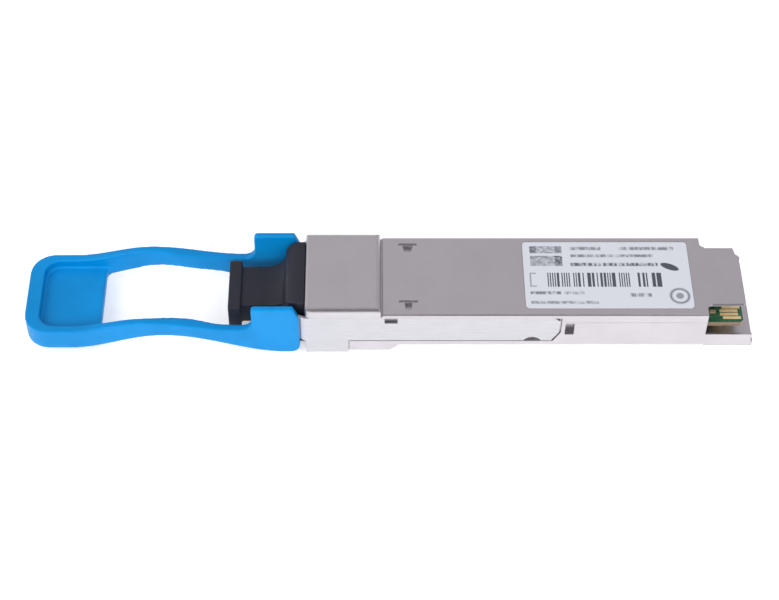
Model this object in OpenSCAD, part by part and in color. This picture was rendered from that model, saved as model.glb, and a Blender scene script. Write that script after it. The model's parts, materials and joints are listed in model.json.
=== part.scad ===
// Four-lane pluggable optical transceiver for a duplex fibre, with a pull tab.
// X runs from the fibre end (-X) to the electrical end (+X) and is zero at the shoulder that
// stops against the cage. Y is zero at the middle of the width, Z is zero at the underside.

/* [Body] */
// Width across the side walls
body_w = 18.35; // [18.2:0.05:18.4]
// Height from the underside to the heat-sink face
body_h = 8.5; // [8.4:0.05:8.6]
// Length from the stop shoulder to the end of the side walls
body_l = 57.9; // [57:0.1:60]
// How far the top hood reaches past the side walls
hood_l = 6.75; // [5.5:0.05:7.5]
// How far the lower lip reaches past the side walls
lip_l = 8.65; // [6.5:0.05:9]
// Thickness of the side walls
wall_t = 1.6; // [1.5:0.05:1.7]
// Height of the joint between the two shells
split_z = 6.4; // [6.2:0.1:6.6]

/* [Nose] */
// Length of the raised nose in front of the stop shoulder
nose_l = 13.43; // [13:0.01:14.5]
// Rise of the nose above the heat-sink face
nose_up = 1.38; // [1:0.01:1.6]
// Drop of the nose below the underside
nose_down = 2.03; // [1.9:0.01:2.3]

/* [Release slide] */
// Thickness of the sheet steel
sheet_t = 0.5; // [0.4:0.05:0.5]
// Far end of the side arms
arm_tip_x = 31.8; // [30:0.1:33]
// Travel of the pull tab and slide from rest to full release
release_travel = 2.4; // [1.5:0.1:2.6]

/* [Pull tab] */
// Distance from the stop shoulder to the far end of the tab
tab_reach = 63.85; // [63:0.05:75]
// Length of the finger pad
pad_l = 13.6; // [12:0.1:16]
// Width of each side arm of the tab
tab_arm_w = 1.37; // [1.3:0.01:1.6]

/* [Fibre port] */
// Distance between the two fibre axes
port_pitch = 6.25; // [6.2:0.05:6.3]
// Height of the fibre axes above the underside
port_z = 3.9; // [3.8:0.05:4]

/* [Board] */
// Width of the edge that enters the host connector
card_w = 16.42; // [16.3:0.02:16.5]
// Thickness of the circuit board
board_t = 1; // [0.9:0.05:1]
// Contacts on each face of the board's edge
contact_n = 19; // [15:1:19]
// Distance between neighbouring contacts
contact_pitch = 0.8; // [0.75:0.05:0.8]

/* [Label] */
// Length of the label along the body
label_l = 29.85; // [24:0.05:30]
// Width of the label
label_w = 15.6; // [12:0.1:16]

/* [Hidden] */
$fn = 48;

half_w = body_w / 2;
eps = 0.01;             // overrun of a cutter past the face it cuts
slip = 0.05;            // clearance between pieces that meet
edge_r = 0.45;          // rounding of the body's long edges
nose_r = 1.1;           // rounding of the nose's long edges and front corners
nose_front_r = 0.5;     // rounding of the nose's upper edges at its front and back
nose_back_r = 0.9;
nose_ramp_x = [1.1, 3]; // slope behind the lowered part of the nose
groove = [0.35, 0.6];   // length and depth of the groove behind the nose
nose_top = body_h + nose_up;
nose_low = -nose_down;
floor_t = 1.2;
roof_z = body_h - floor_t;
inner_half = half_w - wall_t;
far_away = 200;

// Side channels for the slide's arms, and the sunk lower part of the nose for its strap
channel_d = sheet_t + 2 * slip;
channel_low = 1.25;
channel_high = 7.55;
tip_gap = 0.3;          // room past the arm's tip
tip_cut = [1.3, 2.4];   // lower corner cut off the arm's tip
arm_low = channel_low + slip;
arm_high = channel_high - slip;
arm_outer = half_w - slip;
arm_inner = arm_outer - sheet_t;
strap_x = [-nose_l + 0.1, -5.85];
strap_drop = nose_low + slip;
latch_window = [1, 3.1, 1.6, 3];            // start past the tip, low edge, length, height
latch_window_d = 1.2;
arm_front = -22;
joggle = 0.47;          // inward step of the arm, so that the tab's wing covers its front part

// Springs and their pockets
coil_r = 0.8;
wire_r = 0.15;
coil_turns = 9;
coil_spare = 0.6;       // gap left between the coils at full release
spring_y = 7.4;
spring_z = 4.5;
push_tab_x = 12.4;
spring_front = push_tab_x - release_travel - 2 * wire_r * coil_turns - coil_spare;
pocket_half_h = 1.1;
pocket_inner = 6.4;
spring_block = [spring_front - 1.8, 15.2];

// Screws
screw_r = 0.8;
screw_head_r = 1.45;
screw_head_h = 0.75;
screw_x = [17.5, 50.5];
screw_y = 6.15;
boss_r = 1.6;

// Joint gaskets
gasket_r = 0.28;
gasket_y = half_w - wall_t + 0.5;
gasket_x = [2, body_l - 2.6];

// Board
board_top = 5.4;
board_low = board_top - board_t;
board_x = [20, body_l + hood_l - 0.15];
board_half = inner_half - 0.2;
tongue_x = body_l - 3.4;
tongue_half = card_w / 2;
contact_w = 0.6;
contact_l = 3.2;
contact_t = 0.05;
ledge_in = 0.9;

// Port block and optics
block_x = [-nose_l + 0.25, -0.9];
block_half = 6.6;
block_z = [port_z - 4.2, port_z + 4.2];
port_w = 4.6;
port_end = -3.6;
latch_slot_w = 2.4;
latch_slot_h = 1.3;
rib_x = [-3.4, -2.2];
rib_half = 7.3;
barrel_r = 1.45;
barrel_tip = -9.2;
barrel_bore_r = 0.83;
sleeve_r = 0.81;
ferrule_r = 0.625;
sleeve_slit = 0.25;
sleeve_x = [-8.9, -3.9];
stub_x = [-6.2, 0.4];
flange_r = 2.6;
flange_x = [-0.85, 0.3];
clip_x = [0.32, 0.8];
package_x = [3, 14.4];
package_half = 2.7;
package_z = [1.6, 6.2];

// Hood, lip and label
hood_half = 6.8;
hood_x = body_l + hood_l;
lip_x = body_l + lip_l;
hood_t = 0.4;
hood_fillet = 0.8;      // in the corners between the hood and the side walls
lip_wall = 0.4;
lip_wall_end = 0.35;    // how far the lip's walls stop short of its floor
lip_wall_h = 3.1;
label_x = 25.7;
label_y = 0.2;
label_sink = 0.12;
label_t = 0.09;
label_r = 0.8;

// Pull tab
wing_back = -nose_l - 1;
wing_front = -22.95;
wing_w = 1.57;
wing_low = -2.05;
wing_top = 9.83;
wing_chamfer = [1.1, 2.9];
wing_foot_r = 1.8;
wing_top_r = 0.7;
wing_fillet = 2;
pad_low = -0.9;
pad_top = 3.7;
pad_corner_r = 4.4;
tray_low = 1.95;
tray_rim = 1.6;
tray_end_rim = 2.6;
arch_low = 2.65;
arch_top = 6.1;
arch_low_x = [-56, -38.7, -16.4];
arch_top_x = [-56, -41.5, wing_front - wing_fillet];
arm_meets_wing_z = 4.1;
arm_draft = 4;          // lean of the arms' inner faces, degrees
bulge = 0.57;           // inward swelling of the arms, and where it starts, peaks and ends
bulge_x = [-43, -34.3, -28];
window_corner_r = 1;
curve_steps = 24;

// Dust plug
plug_outer_x = [-27.3, -25];
plug_flare_x = [-20.8, -17.1];
plug_half = [5.6, 4.6, 7.2];            // half widths of outer flange, neck and inner flange
plug_low = [0.2, 1.1, -1.4];
plug_high = [6.2, 5.7, 9.5];
plug_rim = [2.5, 1.5];    // rounding of the inner flange, along X and across
prong_w = 4.4;
prong_end = -5.6;
prong_bore_r = 1.65;

function ease(t) = (1 - cos(180 * t)) / 2;
function steps(a, b) = [for (i = [0 : curve_steps]) a + (b - a) * i / curve_steps];
function reversed(list) = [for (i = [len(list) - 1 : -1 : 0]) list[i]];
// Smooth S-curve from (x0, z0) to (x1, z1), level at both ends
function s_curve(x0, x1, z0, z1) = [
    for (x = steps(x0, x1)) [x, z0 + (z1 - z0) * ease((x - x0) / (x1 - x0))]
];
function arc(x, z, r, a0, a1) = [for (a = steps(a0, a1)) [x + r * cos(a), z + r * sin(a)]];

// ---- helpers --------------------------------------------------------------------------

// Draws the 2D child in the Y-Z plane and carries it along X
module along_x(x0, x1) {
    translate([x0, 0, 0]) rotate([90, 0, 90]) linear_extrude(x1 - x0) children();
}

// Draws the 2D child in the X-Z plane and carries it along Y
module along_y(y0, y1) {
    translate([0, y1, 0]) rotate([90, 0, 0]) linear_extrude(y1 - y0) children();
}

module along_z(z0, z1) {
    translate([0, 0, z0]) linear_extrude(z1 - z0) children();
}

// Box from three [low, high] pairs
module block(x, y, z) {
    translate([x[0], y[0], z[0]]) cube([x[1] - x[0], y[1] - y[0], z[1] - z[0]]);
}

module rounded_rect(a, b, r) {
    translate([a[0] + r, b[0]]) square([a[1] - a[0] - 2 * r, b[1] - b[0]]);
    translate([a[0], b[0] + r]) square([a[1] - a[0], b[1] - b[0] - 2 * r]);
    for (u = [a[0] + r, a[1] - r], v = [b[0] + r, b[1] - r]) translate([u, v]) circle(r);
}

module both_sides() {
    children();
    mirror([0, 1, 0]) children();
}

module rod_x(x, y, z, r) {
    translate([x[0], y, z]) rotate([0, 90, 0]) cylinder(h = x[1] - x[0], r = r);
}

module at_ports() {
    for (s = [-1, 1]) translate([0, s * port_pitch / 2, port_z]) children();
}

// ---- shells ---------------------------------------------------------------------------

// Side view of the nose, with the slope that runs back under the body
module nose_side() {
    a = nose_front_r;
    b = nose_back_r;
    polygon(concat(
        [[-nose_l, nose_low]], arc(-nose_l + a, nose_top - a, a, 180, 90), arc(-b, nose_top - b, b, 90, 0),
        [[0, 1], [nose_ramp_x[1], 1], [nose_ramp_x[1], 0], [nose_ramp_x[0], nose_low]]
    ));
}

module body_form() {
    nose_x = [-nose_l, nose_ramp_x[1]];
    along_x(0, body_l) rounded_rect([-half_w, half_w], [0, body_h], edge_r);
    intersection() {
        along_x(nose_x[0], nose_x[1]) rounded_rect([-half_w, half_w], [nose_low, nose_top], nose_r);
        along_z(nose_low, nose_top)
            rounded_rect([nose_x[0], nose_x[1] + 2 * nose_r], [-half_w, half_w], nose_r);
        along_y(-half_w, half_w) nose_side();
    }
}

// The hood is stepped back twice at its left corner and clipped at its right corner
module hood_plan() {
    f = hood_fillet;
    clip = 0.4;
    root = concat([[body_l - floor_t, hood_half + f]], arc(body_l + f, hood_half + f, f, 180, 270));
    left = [
        [hood_x - 0.9, hood_half], [hood_x - 0.5, hood_half - 1.8],
        [hood_x - 0.1, hood_half - 2.05], [hood_x, hood_half - 2.6]
    ];
    right = [[hood_x, -hood_half + clip], [hood_x - clip, -hood_half]];
    polygon(concat(root, left, right, reversed([for (p = root) [p.x, -p.y]])));
}

// Chamfer along each upper edge of the hood
module hood_chamfer() {
    c = hood_t * 0.75;
    both_sides() along_x(body_l + hood_fillet, far_away) polygon([
        [hood_half - c, body_h + eps], [hood_half + 1, body_h + eps], [hood_half + 1, body_h - c],
        [hood_half, body_h - c]
    ]);
}

// Everything that both shells leave free: port block, interior, board and slide channels
module shell_hollows() {
    block([-nose_l - eps, block_x[1] + slip], [-block_half - slip, block_half + slip],
          [block_z[0] - slip, block_z[1] + slip]);
    block([rib_x[0] - slip, rib_x[1] + slip], [-rib_half - slip, rib_half + slip],
          [0.2 - slip, block_z[1] - 0.6 + slip]);
    block([block_x[1], far_away], [-inner_half, inner_half], [floor_t, roof_z]);
    block([tongue_x - 0.2, far_away], [-tongue_half - 0.1, tongue_half + 0.1],
          [board_low - 0.3, board_top + 0.4]);
    both_sides() side_channel();
}

// The channel ends just past the slanted tip of the slide's arm
module side_channel() {
    cut_y = [half_w - channel_d, far_away];
    end = arm_tip_x + tip_gap;
    along_y(cut_y[0], cut_y[1]) polygon([
        [-nose_l - eps, channel_low], [end - tip_cut.x, channel_low], [end, channel_low + tip_cut.y],
        [end, channel_high], [-nose_l - eps, channel_high]
    ]);
    // Sunk part under the channel, for the strap's legs
    block([-nose_l - eps, strap_x[1] + 0.3], cut_y, [nose_low - eps, channel_low + eps]);
    // Window in which the cage's catch drops, past the arm's tip
    block([arm_tip_x + latch_window[0], arm_tip_x + latch_window[0] + latch_window[2]],
          [half_w - latch_window_d, far_away], [latch_window[1], latch_window[1] + latch_window[3]]);
}

module strap_recess() {
    block([-nose_l - eps, strap_x[1] + 0.3], [-far_away, far_away],
          [nose_low - eps, nose_low + channel_d]);
}

module spring_pocket() {
    block([spring_front, spring_block[1] - 0.6], [pocket_inner, half_w],
          [spring_z - pocket_half_h, spring_z + pocket_half_h]);
}

module gasket_groove(s) {
    rod_x([gasket_x[0] - slip, gasket_x[1] + slip], s * gasket_y, split_z, gasket_r);
}

module at_screws() {
    for (x = screw_x, s = [-1, 1]) translate([x, s * screw_y, 0]) children();
}

module lip() {
    block([body_l - eps, lip_x], [-half_w, half_w], [0, floor_t]);
    both_sides()
        block([body_l - eps, lip_x - lip_wall_end], [half_w - lip_wall, half_w], [0, lip_wall_h]);
}

module bottom_shell() {
    color([0.72, 0.71, 0.73]) difference() {
        union() {
            difference() {
                union() {
                    intersection() {
                        body_form();
                        block([-far_away, far_away], [-far_away, far_away], [-far_away, split_z]);
                    }
                    lip();
                }
                shell_hollows();
                strap_recess();
            }
            // Walls round the springs, board ledges and screw bosses
            both_sides() {
                block(spring_block, [pocket_inner - 0.35, inner_half + eps], [floor_t - eps, split_z]);
                block([board_x[0] + 1.2, tongue_x - 0.6], [inner_half - ledge_in, inner_half + eps],
                      [floor_t - eps, board_low]);
            }
            at_screws() cylinder(h = split_z, r = boss_r);
        }
        both_sides() spring_pocket();
        at_screws() {
            translate([0, 0, -eps]) cylinder(h = far_away, r = screw_r + slip);
            rotate_extrude() polygon([
                [0, -eps], [screw_head_r + slip, -eps], [screw_head_r + slip, 0.15],
                [screw_r + slip, 0.15 + screw_head_h], [0, 0.15 + screw_head_h]
            ]);
        }
        for (s = [-1, 1]) gasket_groove(s);
    }
}

// T-shaped mark: a narrow slot and a deeper tapering stem, [width at the slot, at the end, length]
module stake_mark(y, stem) {
    bar = [3.4, 0.4];
    bar_d = 0.3;
    stem_d = 0.9;
    translate([4.95, y, body_h]) {
        along_z(-bar_d, 1) translate([-bar.x / 2, 0]) square(bar);
        along_z(-stem_d, 1) polygon([
            [-stem[0] / 2, eps], [stem[0] / 2, eps], [stem[1] / 2, -stem[2]], [-stem[1] / 2, -stem[2]]
        ]);
    }
}

module top_shell() {
    pedestal = [31.5, 41.5];
    pedestal_half = 4.6;
    color([0.66, 0.63, 0.66]) difference() {
        union() {
            difference() {
                union() {
                    intersection() {
                        body_form();
                        block([-far_away, far_away], [-far_away, far_away], [split_z, far_away]);
                    }
                    along_z(body_h - hood_t, body_h) hood_plan();
                }
                shell_hollows();
            }
            block(pedestal, [-pedestal_half, pedestal_half], [roof_z - 0.55, roof_z + eps]);
            translate([0, 0, split_z]) at_screws() cylinder(h = roof_z - split_z + eps, r = boss_r);
        }
        translate([0, 0, split_z - eps]) at_screws() cylinder(h = 1.5 + eps, r = screw_r);
        for (s = [-1, 1]) gasket_groove(s);
        along_z(body_h - label_sink, far_away) label_plan(slip);
        block([0, groove[0]], [-far_away, far_away], [body_h - groove[1], body_h + eps]);
        hood_chamfer();
        stake_mark(7.2, [2, 1.2, 1.6]);
        stake_mark(-6.2, [1.4, 1, 1.7]);
    }
}

module shell_screws() {
    drive_r = 0.62;
    drive_d = 0.45;
    color("silver") at_screws() difference() {
        rotate_extrude() polygon([
            [0, 0.05], [screw_head_r, 0.05], [screw_head_r, 0.15], [screw_r - slip, 0.15 + screw_head_h],
            [screw_r - slip, split_z + 1.3], [0, split_z + 1.3]
        ]);
        cylinder(h = 0.05 + drive_d, r = drive_r, $fn = 6);
    }
}

module gasket(s) {
    color([0.2, 0.2, 0.22]) rod_x(gasket_x, s * gasket_y, split_z, gasket_r - 0.02);
}

module left_gasket() {
    gasket(1);
}

module right_gasket() {
    gasket(-1);
}

// ---- board ----------------------------------------------------------------------------

module board_plan() {
    edge_cut = 0.5;
    notch_r = boss_r + 0.15;
    difference() {
        union() {
            translate([board_x[0], -board_half]) square([tongue_x - board_x[0] + eps, 2 * board_half]);
            polygon([
                [tongue_x, -tongue_half], [board_x[1] - edge_cut, -tongue_half],
                [board_x[1], -tongue_half + edge_cut], [board_x[1], tongue_half - edge_cut],
                [board_x[1] - edge_cut, tongue_half], [tongue_x, tongue_half]
            ]);
        }
        for (s = [-1, 1]) {
            translate([screw_x[1], s * screw_y]) circle(notch_r);
            translate([screw_x[1] - notch_r, s > 0 ? screw_y : -far_away])
                square([2 * notch_r, far_away - screw_y]);
        }
    }
}

module main_board() {
    color([0.12, 0.35, 0.2]) along_z(board_low, board_top) board_plan();
}

// Power contacts sit back a little from the earth contacts, so they join later
module edge_contacts() {
    span = (contact_n - 1) * contact_pitch;
    set_back = 0.45;
    color([0.83, 0.68, 0.35]) for (z = [board_low - contact_t, board_top], i = [0 : contact_n - 1]) {
        y = -span / 2 + i * contact_pitch;
        x_end = board_x[1] - 0.35 - (i % 3 == 0 ? 0 : set_back);
        block([x_end - contact_l, x_end], [y - contact_w / 2, y + contact_w / 2], [z, z + contact_t]);
    }
}

// Chip in a square package, with its bevelled rim
module chip(x, y, size, h, z) {
    rim = 0.3;
    translate([x, y, z]) {
        translate([-size / 2, -size / 2, 0]) cube([size, size, h * 0.4]);
        translate([-size / 2 + rim, -size / 2 + rim, 0]) cube([size - 2 * rim, size - 2 * rim, h]);
    }
}

module driver_chip() {
    color([0.16, 0.16, 0.17]) chip(27, 0, 4.6, 0.9, board_top);
}

module retimer_chip() {
    color([0.16, 0.16, 0.17]) chip(36.5, 0, 7, 1, board_top);
}

module controller_chip() {
    color([0.16, 0.16, 0.17]) chip(46, 1.5, 5, 0.85, board_top);
}

module memory_chip() {
    color([0.16, 0.16, 0.17]) chip(46.2, -3.3, 2.4, 0.7, board_top);
}

module inductors() {
    color([0.3, 0.3, 0.31]) for (y = [-1.9, 1.9]) {
        translate([54, y, board_top]) difference() {
            translate([-1.25, -1.25, 0]) cube([2.5, 2.5, 1.5]);
            translate([0, 0, 1.2]) cylinder(h = 1, r = 0.7);
        }
    }
}

module small_part(x, y, z, size) {
    translate([x - size.x / 2, y - size.y / 2, z]) cube(size);
}

module capacitors() {
    size = [1, 0.5, 0.5];
    color([0.62, 0.5, 0.38]) {
        for (x = [24, 26, 28, 30], s = [-1, 1]) small_part(x, s * 4.2, board_top, size);
        for (x = [32.6, 34.6, 36.6, 38.6, 40.6], s = [-1, 1]) small_part(x, s * 5.6, board_top, size);
        for (x = [57.6, 59.2], y = [-6, -3, 0, 3, 6]) small_part(x, y, board_top, size);
        for (x = [26, 30, 34, 38, 42, 46], s = [-1, 1]) {
            small_part(x, s * 3, board_low - size.z, size);
        }
    }
}

module crystal() {
    color("silver") translate([42.6, -3.4, board_top]) {
        translate([-0.8, -1, 0]) cube([1.6, 2, 0.35]);
        translate([-0.65, -0.85, 0]) cube([1.3, 1.7, 0.55]);
    }
}

// ---- port block and optics ------------------------------------------------------------

module port_opening() {
    block([block_x[0] - eps, port_end], [-port_w / 2, port_w / 2], [-port_w / 2, port_w / 2]);
    block([block_x[0] - eps, port_end], [-latch_slot_w / 2, latch_slot_w / 2],
          [0, port_w / 2 + latch_slot_h]);
    // Undercut that the connector's latch snaps into
    block([-9.4, -7.2], [-port_w / 2 + eps, port_w / 2 - eps], [0, port_w / 2 + 0.7]);
}

module lc_receptacle() {
    lead_in = 0.35;
    color([0.16, 0.16, 0.18]) difference() {
        union() {
            block(block_x, [-block_half, block_half], block_z);
            block(rib_x, [-rib_half, rib_half], [0.2, block_z[1] - 0.6]);
        }
        at_ports() {
            port_opening();
            block([block_x[0] - eps, block_x[0] + lead_in], [-port_w / 2 - 0.2, port_w / 2 + 0.2],
                  [-port_w / 2 - 0.2, port_w / 2 + 0.2]);
            rod_x([port_end - eps, block_x[1] + eps], 0, 0, barrel_r + slip);
        }
    }
}

module retaining_clip() {
    arm_z = [floor_t + 0.1, roof_z - 0.1];
    color("gainsboro") difference() {
        block(clip_x, [-inner_half + 0.1, inner_half - 0.1], arm_z);
        for (s = [-1, 1]) {
            y = s * port_pitch / 2;
            rod_x([clip_x[0] - eps, clip_x[1] + eps], y, port_z, barrel_r + slip);
            block([clip_x[0] - eps, clip_x[1] + eps], [y - barrel_r - slip, y + barrel_r + slip],
                  [port_z, far_away]);
        }
    }
}

// One optical sub-assembly: sleeve barrel, flange, neck and sealed package
module optics(s) {
    fold = 0.5;
    pins = 6;
    translate([0, s * port_pitch / 2, 0]) {
        difference() {
            union() {
                rod_x([barrel_tip, package_x[0] + eps], 0, port_z, barrel_r);
                rod_x(flange_x, 0, port_z, flange_r);
            }
            rod_x([barrel_tip - eps, stub_x[1] + slip], 0, port_z, barrel_bore_r);
        }
        difference() {
            block(package_x, [-package_half, package_half], package_z);
            translate([0, 0, package_z[1] - 0.25]) linear_extrude(1) difference() {
                rounded_rect([package_x[0] + fold, package_x[1] - fold],
                             [-package_half + fold, package_half - fold], 0.4);
                rounded_rect([package_x[0] + 2 * fold, package_x[1] - 2 * fold],
                             [-package_half + 2 * fold, package_half - 2 * fold], 0.3);
            }
        }
    }
}

module tx_optics() {
    color([0.8, 0.7, 0.42]) optics(-1);
}

module rx_optics() {
    color([0.8, 0.7, 0.42]) optics(1);
}

module ferrule_sleeves() {
    color("white") at_ports() difference() {
        rod_x(sleeve_x, 0, 0, sleeve_r);
        rod_x([sleeve_x[0] - eps, sleeve_x[1] + eps], 0, 0, ferrule_r + 0.02);
        block([sleeve_x[0] - eps, sleeve_x[1] + eps], [-sleeve_slit / 2, sleeve_slit / 2], [0, 2]);
    }
}

module fibre_stubs() {
    color([0.93, 0.92, 0.88]) at_ports() {
        rod_x([stub_x[0], sleeve_x[1] + slip], 0, 0, ferrule_r);
        rod_x([sleeve_x[1] + slip, stub_x[1]], 0, 0, barrel_bore_r - 0.01);
    }
}

// Flexible circuit from height z0 at the package to height z1 on the board
module flex(s, z0, z1) {
    t = 0.15;
    half = 1.35;
    land = 2.2;
    x0 = package_x[1] + 0.02;
    x1 = board_x[0] + 0.2;
    path = concat([[x0, z0]], s_curve(x0 + 0.8, x1, z0, z1), [[x1 + land, z1]]);
    back = [for (p = path) p + [0, t]];
    y = s * port_pitch / 2;
    color([0.75, 0.42, 0.12]) along_y(y - half, y + half) polygon(concat(path, reversed(back)));
}

module tx_flex() {
    flex(-1, 4.9, board_top + 0.01);
}

module rx_flex() {
    flex(1, 2.6, board_low - 0.16);
}

module thermal_pad(x, y, z) {
    color([0.55, 0.62, 0.66]) along_z(z[0], z[1]) rounded_rect(x, y, 0.4);
}

module tx_thermal_pad() {
    y = -port_pitch / 2;
    thermal_pad([5, 13], [y - 2, y + 2], [package_z[1] + 0.02, roof_z - 0.02]);
}

module rx_thermal_pad() {
    y = port_pitch / 2;
    thermal_pad([5, 13], [y - 2, y + 2], [package_z[1] + 0.02, roof_z - 0.02]);
}

module retimer_thermal_pad() {
    thermal_pad([33.7, 39.3], [-2.8, 2.8], [board_top + 1.02, roof_z - 0.57]);
}

// ---- label ----------------------------------------------------------------------------

module label_plan(grow) {
    rounded_rect([label_x - grow, label_x + label_l + grow],
                 [label_y - label_w / 2 - grow, label_y + label_w / 2 + grow], label_r);
}

module label() {
    color([0.91, 0.93, 0.96]) along_z(body_h - label_sink, body_h - label_sink + label_t) label_plan(0);
}

// ---- release slide --------------------------------------------------------------------

// Outline of one side arm in the X-Z plane, from the tab's wing to the latch tip
module arm_outline() {
    notch_r = 1.7;
    difference() {
        polygon([
            [arm_front, arm_low], [arm_tip_x - tip_cut.x, arm_low], [arm_tip_x - eps, arm_low + tip_cut.y],
            [arm_tip_x, arm_high - 0.8], [arm_tip_x - 1, arm_high], [arm_front, arm_high]
        ]);
        translate([27.1, arm_low - 0.7]) circle(notch_r);
        translate([0.7, 6.1]) square([2.3, 3]);
    }
}

// Top view of one side arm, stepping inwards ahead of the nose
module arm_plan() {
    polygon([
        [arm_front, arm_inner - joggle], [wing_back, arm_inner - joggle],
        [-nose_l - slip, arm_inner], [far_away, arm_inner], [far_away, arm_outer],
        [-nose_l - slip, arm_outer], [wing_back, arm_outer - joggle], [arm_front, arm_outer - joggle]
    ]);
}

module arm_blade() {
    intersection() {
        along_y(arm_inner - joggle, arm_outer) arm_outline();
        along_z(arm_low, arm_high) arm_plan();
    }
}

module release_arm() {
    tab_h = 1.8;
    arm_blade();
    // Leg down to the strap under the nose
    block(strap_x, [arm_inner, arm_outer], [strap_drop, arm_low + 0.5]);
    // Inward tab that bears on the spring
    block([push_tab_x, push_tab_x + sheet_t], [pocket_inner + 0.15, arm_inner + eps],
          [spring_z - tab_h / 2, spring_z + tab_h / 2]);
}

module release_slide() {
    color([0.86, 0.86, 0.88]) {
        both_sides() release_arm();
        block(strap_x, [-arm_outer, arm_outer], [strap_drop, strap_drop + sheet_t]);
    }
}

// Round wire as it is cut by a plane square to the coil's axis
function wire_cut(pitch) = [
    for (a = [0 : 45 : 315]) let (phi = 360 * wire_r * sin(a) / pitch)
        (coil_r + wire_r * cos(a)) * [cos(phi), sin(phi)]
];

module spring(s) {
    l = push_tab_x - spring_front - 2 * slip;
    color("lightgray") translate([spring_front + slip, s * spring_y, spring_z]) rotate([0, 90, 0])
        linear_extrude(l, twist = -360 * coil_turns, slices = 14 * coil_turns, segments = 8)
            polygon(wire_cut(l / coil_turns));
}

module left_spring() {
    spring(1);
}

module right_spring() {
    spring(-1);
}

// ---- pull tab -------------------------------------------------------------------------

// Side view: pad, arched arms and wings
module tab_side() {
    lower = concat(
        s_curve(arch_low_x[0], arch_low_x[1], pad_low, arch_low),
        s_curve(arch_low_x[1], arch_low_x[2], arch_low, wing_low)
    );
    upper = concat(
        s_curve(arch_top_x[2], arch_top_x[1], arm_meets_wing_z, arch_top),
        s_curve(arch_top_x[1], arch_top_x[0], arch_top, pad_top)
    );
    polygon(concat(
        [[-tab_reach, pad_low]], lower,
        arc(wing_back - wing_foot_r, wing_low + wing_foot_r, wing_foot_r, -90, 0),
        [[wing_back, wing_top - wing_chamfer[1]], [wing_back - wing_chamfer[0], wing_top]],
        arc(wing_front + wing_top_r, wing_top - wing_top_r, wing_top_r, 90, 180),
        arc(wing_front - wing_fillet, arm_meets_wing_z + wing_fillet, wing_fillet, 0, -90),
        upper, [[-tab_reach, pad_top]]
    ));
}

// Left half of the window between the arms, whose inner faces swell inwards and lean
module half_window() {
    y = half_w - tab_arm_w;
    x = -tab_reach + pad_l;
    r = window_corner_r;
    edge = concat(
        [[x, -1]], arc(x + r, y - r, r, 180, 90),
        s_curve(bulge_x[0], bulge_x[1], y, y - bulge), s_curve(bulge_x[1], bulge_x[2], y - bulge, y)
    );
    translate([0, y, arch_top]) rotate([-arm_draft, 0, 0]) translate([0, -y, 0])
        along_z(-2 * wing_top, wing_top) polygon(concat(edge, [[0, y], [0, -1]]));
}

module tab_window() {
    both_sides() half_window();
    block([wing_front + 1, 0], [-half_w + wing_w, half_w - wing_w], [wing_low - 1, wing_top + 1]);
}

// Finger tray, open towards the window and cut past the window's rounded corners
module finger_tray() {
    tray_end = -tab_reach + pad_l + window_corner_r;
    intersection() {
        along_z(tray_low, arch_top)
            rounded_rect([-tab_reach + tray_end_rim, 0], [-half_w + tray_rim, half_w - tray_rim],
                         pad_corner_r - tray_rim);
        block([-tab_reach, tray_end], [-half_w, half_w], [tray_low, arch_top]);
    }
}

module pull_tab() {
    color([0.05, 0.5, 0.8]) difference() {
        intersection() {
            along_y(-half_w, half_w) tab_side();
            along_z(wing_low, wing_top) rounded_rect([-tab_reach, 0], [-half_w, half_w], pad_corner_r);
        }
        tab_window();
        finger_tray();
        both_sides() arm_blade();
    }
}

// ---- dust plug ------------------------------------------------------------------------

// One edge of the plug: a for the outer flange, b for the neck, c for the inner flange, which
// the neck meets in a hollow curve and which has a rounded rim
function plug_edge(a, b, c) =
    let (x0 = plug_flare_x[0], x1 = plug_flare_x[1], out = c > b ? plug_rim[1] : -plug_rim[1])
    concat(
        [[plug_outer_x[0], a], [plug_outer_x[1], a], [plug_outer_x[1], b]],
        [for (t = steps(0, 90)) [x0 + (x1 - x0) * sin(t), b + (c - out - b) * (1 - cos(t))]],
        [for (t = steps(0, 90)) [x1 + plug_rim[0] * (1 - cos(t)), c - out * (1 - sin(t))]],
        [[-nose_l - slip, c]]
    );

module plug_outline(low, high) {
    polygon(concat(plug_edge(low[0], low[1], low[2]), reversed(plug_edge(high[0], high[1], high[2]))));
}

module dust_plug() {
    color([0.17, 0.17, 0.2]) {
        intersection() {
            along_z(plug_low[2], plug_high[2]) plug_outline(-plug_half, plug_half);
            along_y(-plug_half[2], plug_half[2]) plug_outline(plug_low, plug_high);
        }
        at_ports() difference() {
            along_x(-nose_l - 2 * slip, prong_end)
                rounded_rect([-prong_w / 2, prong_w / 2], [-prong_w / 2, prong_w / 2], 0.5);
            rod_x([-nose_l + 1, prong_end + eps], 0, 0, prong_bore_r);
        }
    }
}

bottom_shell();
top_shell();
shell_screws();
left_gasket();
right_gasket();
main_board();
edge_contacts();
driver_chip();
retimer_chip();
controller_chip();
memory_chip();
inductors();
capacitors();
crystal();
lc_receptacle();
retaining_clip();
tx_optics();
rx_optics();
ferrule_sleeves();
fibre_stubs();
tx_flex();
rx_flex();
tx_thermal_pad();
rx_thermal_pad();
retimer_thermal_pad();
label();
release_slide();
pull_tab();
left_spring();
right_spring();
dust_plug();
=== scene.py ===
import json
import math

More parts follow.
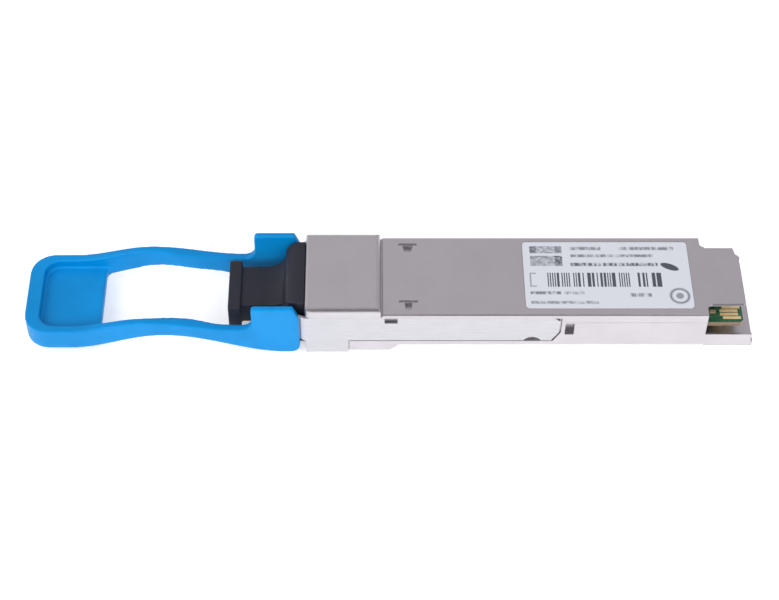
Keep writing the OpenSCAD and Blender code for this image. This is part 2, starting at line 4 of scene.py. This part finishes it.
import bpy
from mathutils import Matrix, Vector


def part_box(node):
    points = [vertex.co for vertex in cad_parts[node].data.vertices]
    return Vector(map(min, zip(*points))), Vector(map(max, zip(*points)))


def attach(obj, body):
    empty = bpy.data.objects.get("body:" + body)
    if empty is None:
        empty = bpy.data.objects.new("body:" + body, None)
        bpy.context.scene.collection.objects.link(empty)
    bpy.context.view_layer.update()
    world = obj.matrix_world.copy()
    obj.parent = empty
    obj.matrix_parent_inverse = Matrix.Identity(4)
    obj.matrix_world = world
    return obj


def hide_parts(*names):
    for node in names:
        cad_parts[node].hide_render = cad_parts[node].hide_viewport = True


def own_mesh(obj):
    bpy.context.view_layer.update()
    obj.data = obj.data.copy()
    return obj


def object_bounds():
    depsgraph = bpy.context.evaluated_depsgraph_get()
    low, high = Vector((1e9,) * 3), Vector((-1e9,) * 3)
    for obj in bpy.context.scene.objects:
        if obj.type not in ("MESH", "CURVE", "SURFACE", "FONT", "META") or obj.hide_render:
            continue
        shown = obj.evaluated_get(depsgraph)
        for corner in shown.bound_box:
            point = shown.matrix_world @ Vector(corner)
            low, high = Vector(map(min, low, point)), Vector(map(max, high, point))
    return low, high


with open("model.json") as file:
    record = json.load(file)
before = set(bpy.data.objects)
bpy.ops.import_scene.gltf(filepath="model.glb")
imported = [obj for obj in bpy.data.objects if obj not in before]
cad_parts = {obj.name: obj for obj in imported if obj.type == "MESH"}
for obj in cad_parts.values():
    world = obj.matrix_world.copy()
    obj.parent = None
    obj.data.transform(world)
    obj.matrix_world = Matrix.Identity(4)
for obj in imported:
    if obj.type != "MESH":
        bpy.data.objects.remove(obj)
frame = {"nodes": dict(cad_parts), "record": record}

CAD_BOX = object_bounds()
MM = 0.001
NODES = frame["nodes"]
SLOT_OF = {part["node"]: part["material_slot"] for part in frame["record"]["subparts"]}
BODY_OF = {n: body for body, members in frame["record"]["behaviour"]["bodies"].items() for n in members}

NOISE_SPAN = (0.3, 0.7)         # a noise texture seldom leaves this range
NOISE_CORE = (0.35, 0.65)       # a narrower span, for more contrast
BEVEL_SAMPLES = 6


def shade(colour, factor):
    """The colour made darker or lighter by a factor."""
    return tuple(min(1, c * factor) for c in colour)


# ---- shader building ------------------------------------------------------------------

class Shader:
    """A node material. Its pattern coordinates are millimetres in the part's own frame."""

    def __init__(self, name):
        self.material = bpy.data.materials.new(name)
        self.material.use_nodes = True
        self.tree = self.material.node_tree
        self.tree.nodes.clear()
        self.bsdf = self.node("ShaderNodeBsdfPrincipled")
        output = self.node("ShaderNodeOutputMaterial")
        self.tree.links.new(self.bsdf.outputs[0], output.inputs["Surface"])
        place = self.node("ShaderNodeTexCoord").outputs["Object"]
        scaled = self.node("ShaderNodeVectorMath", {0: place, "Scale": 1 / MM}, operation="SCALE")
        self.place = scaled.outputs[0]
        axes = self.node("ShaderNodeSeparateXYZ", {0: self.place}).outputs
        self.x, self.y = axes[0], axes[1]

    def node(self, kind, inputs=None, **settings):
        made = self.tree.nodes.new(kind)
        for key, value in settings.items():
            setattr(made, key, value)
        for key, value in (inputs or {}).items():
            self.feed(made.inputs[key], value)
        return made

    def feed(self, socket, value):
        if isinstance(value, bpy.types.NodeSocket):
            self.tree.links.new(value, socket)
        elif isinstance(value, (tuple, list)) and socket.type == "RGBA" and len(value) == 3:
            socket.default_value = (*value, 1)
        else:
            socket.default_value = value

    def set(self, **inputs):
        for key, value in inputs.items():
            self.feed(self.bsdf.inputs[key.replace("_", " ")], value)

    def math(self, operation, a, b=0.0, c=0.0, clamp=False):
        inputs = {0: a, 1: b, 2: c}
        return self.node("ShaderNodeMath", inputs, operation=operation, use_clamp=clamp).outputs[0]

    def add(self, a, b):
        return self.math("ADD", a, b)

    def less(self, a, b):
        return self.math("SUBTRACT", a, b)

    def times(self, a, b):
        return self.math("MULTIPLY", a, b)

    def mix(self, share, a, b):
        made = self.node("ShaderNodeMix", data_type="RGBA")
        self.feed(made.inputs["Factor"], share)
        self.feed(made.inputs["A"], a)
        self.feed(made.inputs["B"], b)
        return made.outputs["Result"]

    def stretched(self, x, y, z):
        """Coordinates scaled by axis, for grain that runs one way."""
        inputs = {0: self.place, 1: (x, y, z)}
        return self.node("ShaderNodeVectorMath", inputs, operation="MULTIPLY").outputs[0]

    def noise(self, per_mm, detail=3.0, rough=0.5, place=None):
        """Soft cloudy pattern with per_mm lumps to the millimetre."""
        inputs = {"Vector": place or self.place, "Scale": per_mm, "Detail": detail, "Roughness": rough}
        return self.node("ShaderNodeTexNoise", inputs).outputs["Fac"]

    def between(self, value, low, high, to_low=0.0, to_high=1.0):
        inputs = {0: value, 1: low, 2: high, 3: to_low, 4: to_high}
        return self.node("ShaderNodeMapRange", inputs).outputs[0]

    def spread(self, noise, to_low=0.0, to_high=1.0):
        """Noise stretched from its usual span to the given range."""
        return self.between(noise, *NOISE_SPAN, to_low, to_high)

    def inside(self, value, low, high):
        """1 where value lies between low and high."""
        return self.times(self.math("GREATER_THAN", value, low), self.math("LESS_THAN", value, high))

    def cell(self, value, size):
        """Number of the cell of the given size that value falls in."""
        return self.math("FLOOR", self.math("DIVIDE", value, size))

    def wave(self, value, period):
        """Triangle wave from 0 to 0.5 and back over two periods."""
        return self.math("PINGPONG", self.math("DIVIDE", value, period), 0.5)

    def random_cell(self, x, y=0.0):
        place = self.node("ShaderNodeCombineXYZ", {0: x, 1: y}).outputs[0]
        noise = self.node("ShaderNodeTexWhiteNoise", {"Vector": place}, noise_dimensions="3D")
        return noise.outputs["Value"]

    def bevelled_normal(self, radius_mm):
        return self.node("ShaderNodeBevel", {"Radius": radius_mm * MM}, samples=BEVEL_SAMPLES).outputs[0]

    def true_normal(self):
        return self.node("ShaderNodeNewGeometry").outputs["Normal"]

    def edge(self, radius_mm, gain=6.0):
        """1 on sharp outer and inner edges, fading to 0 over about radius_mm."""
        inputs = {0: self.bevelled_normal(radius_mm), 1: self.true_normal()}
        dot = self.node("ShaderNodeVectorMath", inputs, operation="DOT_PRODUCT").outputs["Value"]
        return self.math("MULTIPLY", self.less(1.0, dot), gain, clamp=True)

    def relief(self, height, depth_mm, strength, bevel_mm=None):
        """Bumps of the given depth, and edges that look rounded by bevel_mm."""
        inputs = {"Height": height, "Distance": depth_mm * MM, "Strength": strength}
        if bevel_mm:
            inputs["Normal"] = self.bevelled_normal(bevel_mm)
        self.set(Normal=self.node("ShaderNodeBump", inputs).outputs[0])


# ---- materials ------------------------------------------------------------------------

def cast_metal(name, colour):
    """Nickel-plated die casting: fine orange peel, cloudy plating, faint insertion scratches along X, and
    painted shade darkening the edges.
    """
    s = Shader(name)
    peel = s.noise(2.6, detail=4, rough=0.55)
    cloud = s.noise(0.12, detail=4, rough=0.6)
    scratch = s.noise(1.0, rough=0.7, place=s.stretched(0.10, 9, 9))
    # Edges darkened to 0.7 of the colour: painted shade, standing in for the dark reflection along rounded
    # edges
    edge_wear_and_shade = s.times(s.edge(0.2), 0.35)
    tone = s.mix(s.between(cloud, *NOISE_CORE), colour, shade(colour, 0.95))
    scratched = s.between(scratch, 0.62, 0.72, 0, 0.3)
    tone = s.mix(scratched, tone, shade(colour, 1.15))
    s.set(Base_Color=s.mix(edge_wear_and_shade, tone, shade(colour, 0.7)), Metallic=1.0)
    s.set(Roughness=s.add(s.spread(peel, 0.32, 0.42), s.spread(cloud, -0.03, 0.04)))
    s.relief(s.add(peel, s.times(scratch, 0.5)), depth_mm=0.006, strength=0.5, bevel_mm=0.15)
    return s.material


def sheet_steel(name, colour, grain=(0.25, 14, 14)):
    """Stamped sheet: rolled grain, bright sheared edges."""
    s = Shader(name)
    rolled = s.noise(1.0, detail=4, rough=0.6, place=s.stretched(*grain))
    cloud = s.noise(0.3)
    edge_wear_and_shade = s.times(s.edge(0.1), 0.5)
    tone = s.mix(s.between(rolled, *NOISE_CORE), colour, shade(colour, 0.86))
    s.set(Base_Color=s.mix(edge_wear_and_shade, tone, shade(colour, 1.2)), Metallic=1.0)
    s.set(Roughness=s.add(s.spread(rolled, 0.28, 0.4), s.spread(cloud, -0.04, 0.06)))
    s.relief(rolled, depth_mm=0.004, strength=0.5, bevel_mm=0.08)
    return s.material


def moulded(name, colour, roughness, grain_mm, light=None, gloss=0.5):
    """Moulded plastic, rubber or ceramic: spark-texture grain, slight tone flow, rubbed edges."""
    s = Shader(name)
    grain = s.noise(9, rough=0.6)
    flow = s.noise(0.16)
    edge_wear_and_shade = s.times(s.edge(0.35, gain=3.0), 0.35)
    tone = s.mix(s.between(flow, *NOISE_CORE), colour, shade(colour, 0.88))
    rough = s.add(s.spread(grain, roughness - 0.06, roughness + 0.08), s.spread(flow, -0.04, 0.05))
    s.set(Base_Color=s.mix(edge_wear_and_shade, tone, light or shade(colour, 1.5)), Roughness=rough)
    s.set(Specular_IOR_Level=gloss, IOR=1.49)
    s.relief(grain, depth_mm=grain_mm, strength=0.6)
    return s.material


def plated_gold(name, colour, metallic=1.0):
    """Gold plate with fine grain along X; a lower metallic share lets the base colour show as lit colour,
    painted light that brightens gold which would otherwise mirror a dark interior.
    """
    s = Shader(name)
    grain = s.noise(1.0, rough=0.6, place=s.stretched(0.8, 10, 10))
    s.set(Base_Color=s.mix(s.spread(s.noise(0.9)), colour, shade(colour, 0.85)), Metallic=metallic)
    s.set(Roughness=s.spread(grain, 0.24, 0.4))
    s.relief(grain, depth_mm=0.003, strength=0.4, bevel_mm=0.04)
    return s.material


def board_material(name):
    """Green solder mask over copper tracks and vias; layered brown laminate on the cut edge."""
    s = Shader(name)
    track_pitch, track_edge, via_r = 0.4, 0.3, 0.09
    low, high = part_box("main_board")
    span = (high.x - low.x) / MM
    # Each track has its own random start and end along the board
    lane = s.cell(s.y, track_pitch)
    start = s.math("MULTIPLY_ADD", s.random_cell(lane, 3.0), span * 0.5, low.x / MM)
    end = s.math("MULTIPLY_ADD", s.random_cell(lane, 8.0), -span * 0.3, high.x / MM)
    track = s.times(s.inside(s.x, start, end), s.math("GREATER_THAN", s.wave(s.y, track_pitch), track_edge))
    holes = s.node("ShaderNodeTexVoronoi", {"Vector": s.place, "Scale": 0.55, "Randomness": 0.7})
    via = s.math("LESS_THAN", holes.outputs["Distance"], via_r)
    copper = s.math("MAXIMUM", track, via)
    mask = s.mix(s.spread(s.noise(0.5)), (0.018, 0.085, 0.045), (0.03, 0.11, 0.06))
    tone = s.mix(s.times(copper, 0.6), mask, (0.06, 0.21, 0.11))
    tone = s.mix(via, tone, (0.5, 0.42, 0.25))
    upward = s.node("ShaderNodeSeparateXYZ", {0: s.true_normal()}).outputs[2]
    cut = s.math("LESS_THAN", s.math("ABSOLUTE", upward), 0.5)
    layer = s.between(s.noise(1.0, detail=2, place=s.stretched(0.5, 0.5, 11)), *NOISE_CORE)
    laminate = s.mix(layer, (0.10, 0.055, 0.035), (0.24, 0.17, 0.10))
    s.set(Base_Color=s.mix(cut, tone, laminate))
    s.set(Roughness=s.spread(s.noise(3, detail=2), 0.22, 0.36))
    s.relief(s.times(copper, s.less(1.0, cut)), depth_mm=0.03, strength=0.6)
    return s.material


def chip_material(name):
    """Moulded epoxy with a fine, dull grain."""
    s = Shader(name)
    grain = s.noise(14, rough=0.7)
    patches = s.spread(s.noise(0.8, detail=2))
    s.set(Base_Color=s.mix(patches, (0.018, 0.018, 0.02), (0.032, 0.032, 0.034)))
    s.set(Roughness=s.spread(grain, 0.48, 0.7))
    s.relief(grain, depth_mm=0.01, strength=0.6, bevel_mm=0.05)
    return s.material


def part_ceramic(name):
    """Fired ceramic block, finely mottled brown."""
    s = Shader(name)
    grain = s.noise(12)
    s.set(Base_Color=s.mix(s.spread(grain), (0.32, 0.21, 0.12), (0.42, 0.29, 0.17)))
    s.set(Roughness=s.spread(grain, 0.35, 0.6))
    s.relief(grain, depth_mm=0.008, strength=0.5, bevel_mm=0.05)
    return s.material


def flex_material(name):
    """Amber film over parallel copper tracks that run along X."""
    s = Shader(name)
    track_pitch, track_edge = 0.35, 0.26
    track = s.math("GREATER_THAN", s.wave(s.y, track_pitch), track_edge)
    s.set(Base_Color=s.mix(track, (0.30, 0.10, 0.015), (0.55, 0.25, 0.07)))
    s.set(Roughness=s.spread(s.noise(2, detail=2), 0.25, 0.4), Coat_Weight=0.4)
    s.relief(track, depth_mm=0.02, strength=0.5)
    return s.material


def label_material(name):
    """Printed label. Its marks are plain blocks, bars and a ring: nothing on it can be read.

    Places are millimetres on the label: u from its end towards the tab, v from its far edge.
    """
    s = Shader(name)
    low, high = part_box("label")
    u = s.less(s.x, low.x / MM)
    v = s.less(high.y / MM, s.y)

    def field(u0, u1, v0, v1):
        return s.times(s.inside(u, u0, u1), s.inside(v, v0, v1))

    def barred(u0, u1, v0, v1):
        pitch, dark_share = 0.21, 0.62
        dark = s.math("LESS_THAN", s.random_cell(s.cell(u, pitch), v0), dark_share)
        return s.times(field(u0, u1, v0, v1), dark)

    def hatched(u0, u1, v0, v1, tone):
        cell_u, cell_v, vary = 0.45, 0.3, 0.25
        cell = s.random_cell(s.cell(u, cell_u), s.cell(v, cell_v))
        return s.times(field(u0, u1, v0, v1), s.between(cell, 0, 1, tone - vary, tone + vary))

    def row(u0, u1, v0, v1):
        """A line of soft dashes, as fine print looks from arm's length."""
        own_place = v0 * 7.0
        place = s.node("ShaderNodeCombineXYZ", {0: u, 1: own_place, 2: s.times(v, 0.35)}).outputs[0]
        dash = s.between(s.noise(1.9, rough=0.6, place=place), 0.36, 0.56, 0.12, 1.0)
        middle, half = (v0 + v1) / 2, (v1 - v0) / 2
        away = s.math("ABSOLUTE", s.less(v, middle))
        soft = s.between(away, half * 0.55, half * 1.1, 1.0, 0.0)
        return s.times(field(u0, u1, v0 - half, v1 + half), s.times(dash, soft))

    def blot(u0, v0, long, short, turn=0.0):
        """Filled ellipse, turned by an angle in degrees."""
        cos, sin = math.cos(math.radians(turn)), math.sin(math.radians(turn))
        du, dv = s.less(u, u0), s.less(v, v0)
        along = s.add(s.times(du, cos / long), s.times(dv, sin / long))
        across = s.less(s.times(dv, cos / short), s.times(du, sin / short))
        away = s.add(s.times(along, along), s.times(across, across))
        return s.between(away, 0.8, 1.15, 1.0, 0.0)

    def disc(r):
        """Round spot in the label's near corner."""
        return blot(27.5, 12.7, r, r)

    # Each mark under its ink strength, from 0 for bare paper to 1 for full ink
    marks_by_strength = {
        0.5: [field(1.0, 1.3, 7.3, 10.6), field(1.0, 2.2, 7.3, 7.6), field(1.0, 2.2, 10.3, 10.6)],
        0.6: [row(7.0, 10.6, 11.6, 12.4), row(1.0, 13.0, 13.8, 14.6), disc(0.7)],
        0.7: [
            row(8.6, 14.2, 1.1, 2.0), row(17.5, 27.4, 1.1, 2.0), row(8.6, 23.5, 2.9, 3.7),
            row(18.7, 22.5, 12.0, 13.0), s.less(disc(1.85), disc(1.4)),
        ],
        0.75: [row(1.0, 6.4, 11.6, 12.4)],
        0.9: [
            hatched(1.3, 7.1, 1.0, 2.7, 0.45), hatched(1.3, 2.5, 1.0, 2.7, 0.75),
            hatched(5.9, 7.1, 1.0, 2.7, 0.75), hatched(1.3, 7.1, 3.3, 5.7, 0.5),
            hatched(5.7, 7.1, 3.3, 5.7, 0.8), row(8.5, 24.2, 4.9, 5.8),
        ],
        0.95: [
            blot(26.3, 5.9, 1.75, 0.7, 24), barred(4.2, 18.9, 7.3, 10.6),
            barred(20.3, 22.1, 7.3, 10.6), barred(22.9, 24.6, 7.3, 10.6),
        ],
    }
    ink = 0.0
    for strength, marks in marks_by_strength.items():
        for mark in marks:
            ink = s.math("MAXIMUM", ink, s.times(mark, strength))
    fibre = s.noise(4, detail=4, rough=0.6)
    stock = s.mix(s.spread(fibre), (0.59, 0.622, 0.67), (0.562, 0.594, 0.647))
    ink_colour = (0.03, 0.035, 0.05)
    s.set(Base_Color=s.mix(ink, stock, ink_colour))
    s.set(Roughness=s.spread(fibre, 0.38, 0.5), Coat_Weight=0.15)
    s.relief(s.less(s.times(fibre, 0.4), s.times(ink, 0.3)), depth_mm=0.01, strength=0.5)
    return s.material


def build_materials():
    casting = (0.61, 0.59, 0.618)
    blue, rubbed_blue = (0.0, 0.232, 0.58), (0.01, 0.30, 0.66)
    return {
        "bottom_shell": cast_metal("bottom_casting", casting),
        "top_shell": cast_metal("top_casting", casting),
        "screws": sheet_steel("screw_steel", (0.5, 0.5, 0.52), (6, 6, 1)),
        "gasket": moulded("gasket_elastomer", (0.03, 0.03, 0.032), 0.7, 0.01),
        "board": board_material("solder_mask"),
        # Contact gold at 0.4 metallic with a bright colour: painted light, standing in for the bright gold
        # reflection under the hood
        "contacts": plated_gold("contact_gold", (0.92, 0.68, 0.36), 0.4),
        "chips": chip_material("epoxy"),
        "inductors": moulded("pressed_ferrite", (0.05, 0.05, 0.052), 0.6, 0.02),
        "capacitors": part_ceramic("fired_ceramic"),
        "crystal_can": sheet_steel("can_metal", (0.62, 0.6, 0.55), (2, 2, 2)),
        "port_block": moulded("port_plastic", (0.012, 0.012, 0.014), 0.5, 0.006),
        "clip": sheet_steel("clip_steel", (0.60, 0.60, 0.62), (4, 0.4, 4)),
        "optics_can": plated_gold("optics_gold", (0.72, 0.52, 0.24)),
        "zirconia": moulded("ground_ceramic", (0.8, 0.8, 0.77), 0.2, 0.001),
        "flex": flex_material("polyimide"),
        "thermal_pad": moulded("silicone_pad", (0.16, 0.22, 0.28), 0.75, 0.02),
        "label": label_material("label_print"),
        "slide_steel": sheet_steel("slide_steel", (0.62, 0.62, 0.65)),
        "tab_plastic": moulded("tab_blue", blue, 0.42, 0.003, light=rubbed_blue, gloss=0.2),
        "spring_steel": sheet_steel("spring_wire", (0.45, 0.45, 0.47), (3, 3, 3)),
        "plug_rubber": moulded("plug_black", (0.010, 0.012, 0.022), 0.5, 0.006, gloss=0.45),
    }


# ---- pieces ---------------------------------------------------------------------------

def add_to_scene(name, data):
    obj = bpy.data.objects.new(name, data)
    bpy.context.scene.collection.objects.link(obj)
    return obj


def finished_mesh(obj):
    """The object's mesh with its modifiers or its curve bevel applied."""
    graph = bpy.context.evaluated_depsgraph_get()
    return bpy.data.meshes.new_from_object(obj.evaluated_get(graph))


def paint(obj, material):
    obj.data.materials.clear()
    obj.data.materials.append(material)


def stand_in(obj, node, materials):
    """Shows a finished piece in place of a CAD node, on the same body and material slot."""
    paint(obj, materials[SLOT_OF[node]])
    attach(obj, BODY_OF[node])
    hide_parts(node)
    return obj


def softened_copy(node, name, voxel_mm, passes):
    """A copy of a CAD node with moulded, rounded edges: remeshed finely, then relaxed."""
    obj = add_to_scene(name, NODES[node].data.copy())
    remesh = obj.modifiers.new("remesh", "REMESH")
    remesh.mode = "VOXEL"
    remesh.voxel_size = voxel_mm * MM
    relax = obj.modifiers.new("relax", "SMOOTH")
    relax.factor = 0.5
    relax.iterations = passes
    mesh = finished_mesh(obj)
    obj.modifiers.clear()
    obj.data = mesh
    mesh.shade_smooth()
    return obj


def coil(node, name):
    """Round-wire compression spring with closed ends, along X, in the node's own box."""
    wire_r = 0.15 * MM
    turns, closed_turns, steps_per_turn = 9, 1.2, 26
    closed_pitch = 2 * wire_r * 1.02
    low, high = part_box(node)
    coil_r = (high.z - low.z) / 2 - wire_r
    middle = (low + high) / 2
    length = high.x - low.x - 2 * wire_r
    closed_length = closed_turns * closed_pitch
    open_pitch = (length - 2 * closed_length) / (turns - 2 * closed_turns)
    points = []
    for i in range(turns * steps_per_turn + 1):
        turn = i / steps_per_turn
        if turn < closed_turns:
            x = turn * closed_pitch
        elif turn > turns - closed_turns:
            x = length - (turns - turn) * closed_pitch
        else:
            x = closed_length + (turn - closed_turns) * open_pitch
        angle = 2 * math.pi * turn
        y, z = middle.y + coil_r * math.cos(angle), middle.z + coil_r * math.sin(angle)
        points.append((low.x + wire_r + x, y, z, 1))
    curve = bpy.data.curves.new(name, "CURVE")
    curve.dimensions = "3D"
    curve.bevel_depth = wire_r
    curve.bevel_resolution = 3
    curve.use_fill_caps = True
    line = curve.splines.new("POLY")
    line.points.add(len(points) - 1)
    for point, place in zip(line.points, points):
        point.co = place
    path = add_to_scene(name + "_path", curve)
    mesh = finished_mesh(path)
    bpy.data.objects.remove(path)
    mesh.shade_smooth()
    return add_to_scene(name, mesh)


def build_pieces():
    materials = build_materials()
    for node, obj in NODES.items():
        paint(obj, materials[SLOT_OF[node]])
    stand_in(softened_copy("pull_tab", "pull_tab_moulding", 0.16, 16), "pull_tab", materials)
    stand_in(softened_copy("dust_plug", "dust_plug_moulding", 0.16, 6), "dust_plug", materials)
    # Each spring is shown as a coiled wire with a mesh of its own
    for node in ("left_spring", "right_spring"):
        spring = stand_in(coil(node, node + "_coil"), node, materials)
        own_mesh(spring)


# ---- studio ---------------------------------------------------------------------------

def build_floor():
    half_side = 3.0
    z = CAD_BOX[0][2]
    corners = [(-half_side, -half_side, z), (half_side, -half_side, z),
               (half_side, half_side, z), (-half_side, half_side, z)]
    mesh = bpy.data.meshes.new("floor")
    mesh.from_pydata(corners, [], [(0, 1, 2, 3)])
    s = Shader("floor_paper")
    s.set(Base_Color=(0.8, 0.8, 0.8), Roughness=0.9, Emission_Color=(1, 1, 1), Emission_Strength=0.42)
    # Seen from below the paper is clear, so that the part's underside can be looked at
    s.set(Alpha=s.less(1.0, s.node("ShaderNodeNewGeometry").outputs["Backfacing"]))
    mesh.materials.append(s.material)
    add_to_scene("floor", mesh)


def add_light(name, place, size, power):
    """Rectangular lamp aimed at the part's origin, in metres and watts."""
    light = bpy.data.lights.new(name, "AREA")
    light.shape = "RECTANGLE"
    light.size, light.size_y = size
    light.energy = power
    obj = add_to_scene(name, light)
    obj.location = place
    obj.rotation_euler = (-Vector(place)).to_track_quat("-Z", "Y").to_euler()
    return obj


def build_world():
    """A tent: pale behind the part, dim above the camera, pale again low in front, brighter at the tab."""
    world = bpy.data.worlds.new("studio")
    world.use_nodes = True
    tree = world.node_tree
    direction = tree.nodes.new("ShaderNodeTexCoord").outputs["Generated"]
    axes = tree.nodes.new("ShaderNodeSeparateXYZ")
    tree.links.new(direction, axes.inputs[0])

    def ramp(axis, low, high, to_low, to_high):
        made = tree.nodes.new("ShaderNodeMapRange")
        made.interpolation_type = "SMOOTHSTEP"
        for socket, value in zip(made.inputs[1:5], (low, high, to_low, to_high)):
            socket.default_value = value
        tree.links.new(axes.outputs[axis], made.inputs["Value"])
        return made.outputs["Result"]

    def combined(operation, a, b):
        made = tree.nodes.new("ShaderNodeMath")
        made.operation = operation
        tree.links.new(a, made.inputs[0])
        tree.links.new(b, made.inputs[1])
        return made.outputs[0]

    back = combined("MULTIPLY", ramp("Y", -0.75, 0.4, 0.12, 0.62), ramp("X", -0.9, 0.9, 1.2, 0.8))
    front = combined("MULTIPLY", ramp("Z", 0.1, 0.42, 0.35, 0.0), ramp("Y", -0.6, 0.0, 1.0, 0.0))
    background = tree.nodes["Background"]
    background.inputs["Color"].default_value = (1, 0.95, 1, 1)
    tree.links.new(combined("ADD", back, front), background.inputs["Strength"])
    bpy.context.scene.world = world


def build_studio():
    build_floor()
    build_world()
    box_size = (0.5, 0.8)
    add_light("tab_side_box", (-0.62, -0.25, 0.55), box_size, 3.8)
    add_light("board_side_box", (0.62, -0.25, 0.55), box_size, 2.6)
    # Fills the matt faces that look at the camera, without a glint on the metal
    fill = add_light("front_fill", (-0.05, -0.7, 0.42), (0.9, 0.4), 4.8)
    fill.visible_glossy = False
    bpy.context.scene.view_settings.view_transform = "Standard"


def build_camera():
    """Looks along +Y from above, as the photo does, with a lens that frames the whole part."""
    elevation = math.radians(50.446)
    distance = 353.5 * MM
    aim = Vector((-2.54, 1.34, 0)) * MM
    camera = bpy.data.cameras.new("camera")
    camera.lens = 89.28
    camera.shift_x = 0.0298
    obj = add_to_scene("camera", camera)
    obj.location = aim + distance * Vector((0, -math.cos(elevation), math.sin(elevation)))
    obj.rotation_euler = (math.pi / 2 - elevation, 0, 0)
    bpy.context.scene.camera = obj


build_pieces()
build_studio()
build_camera()
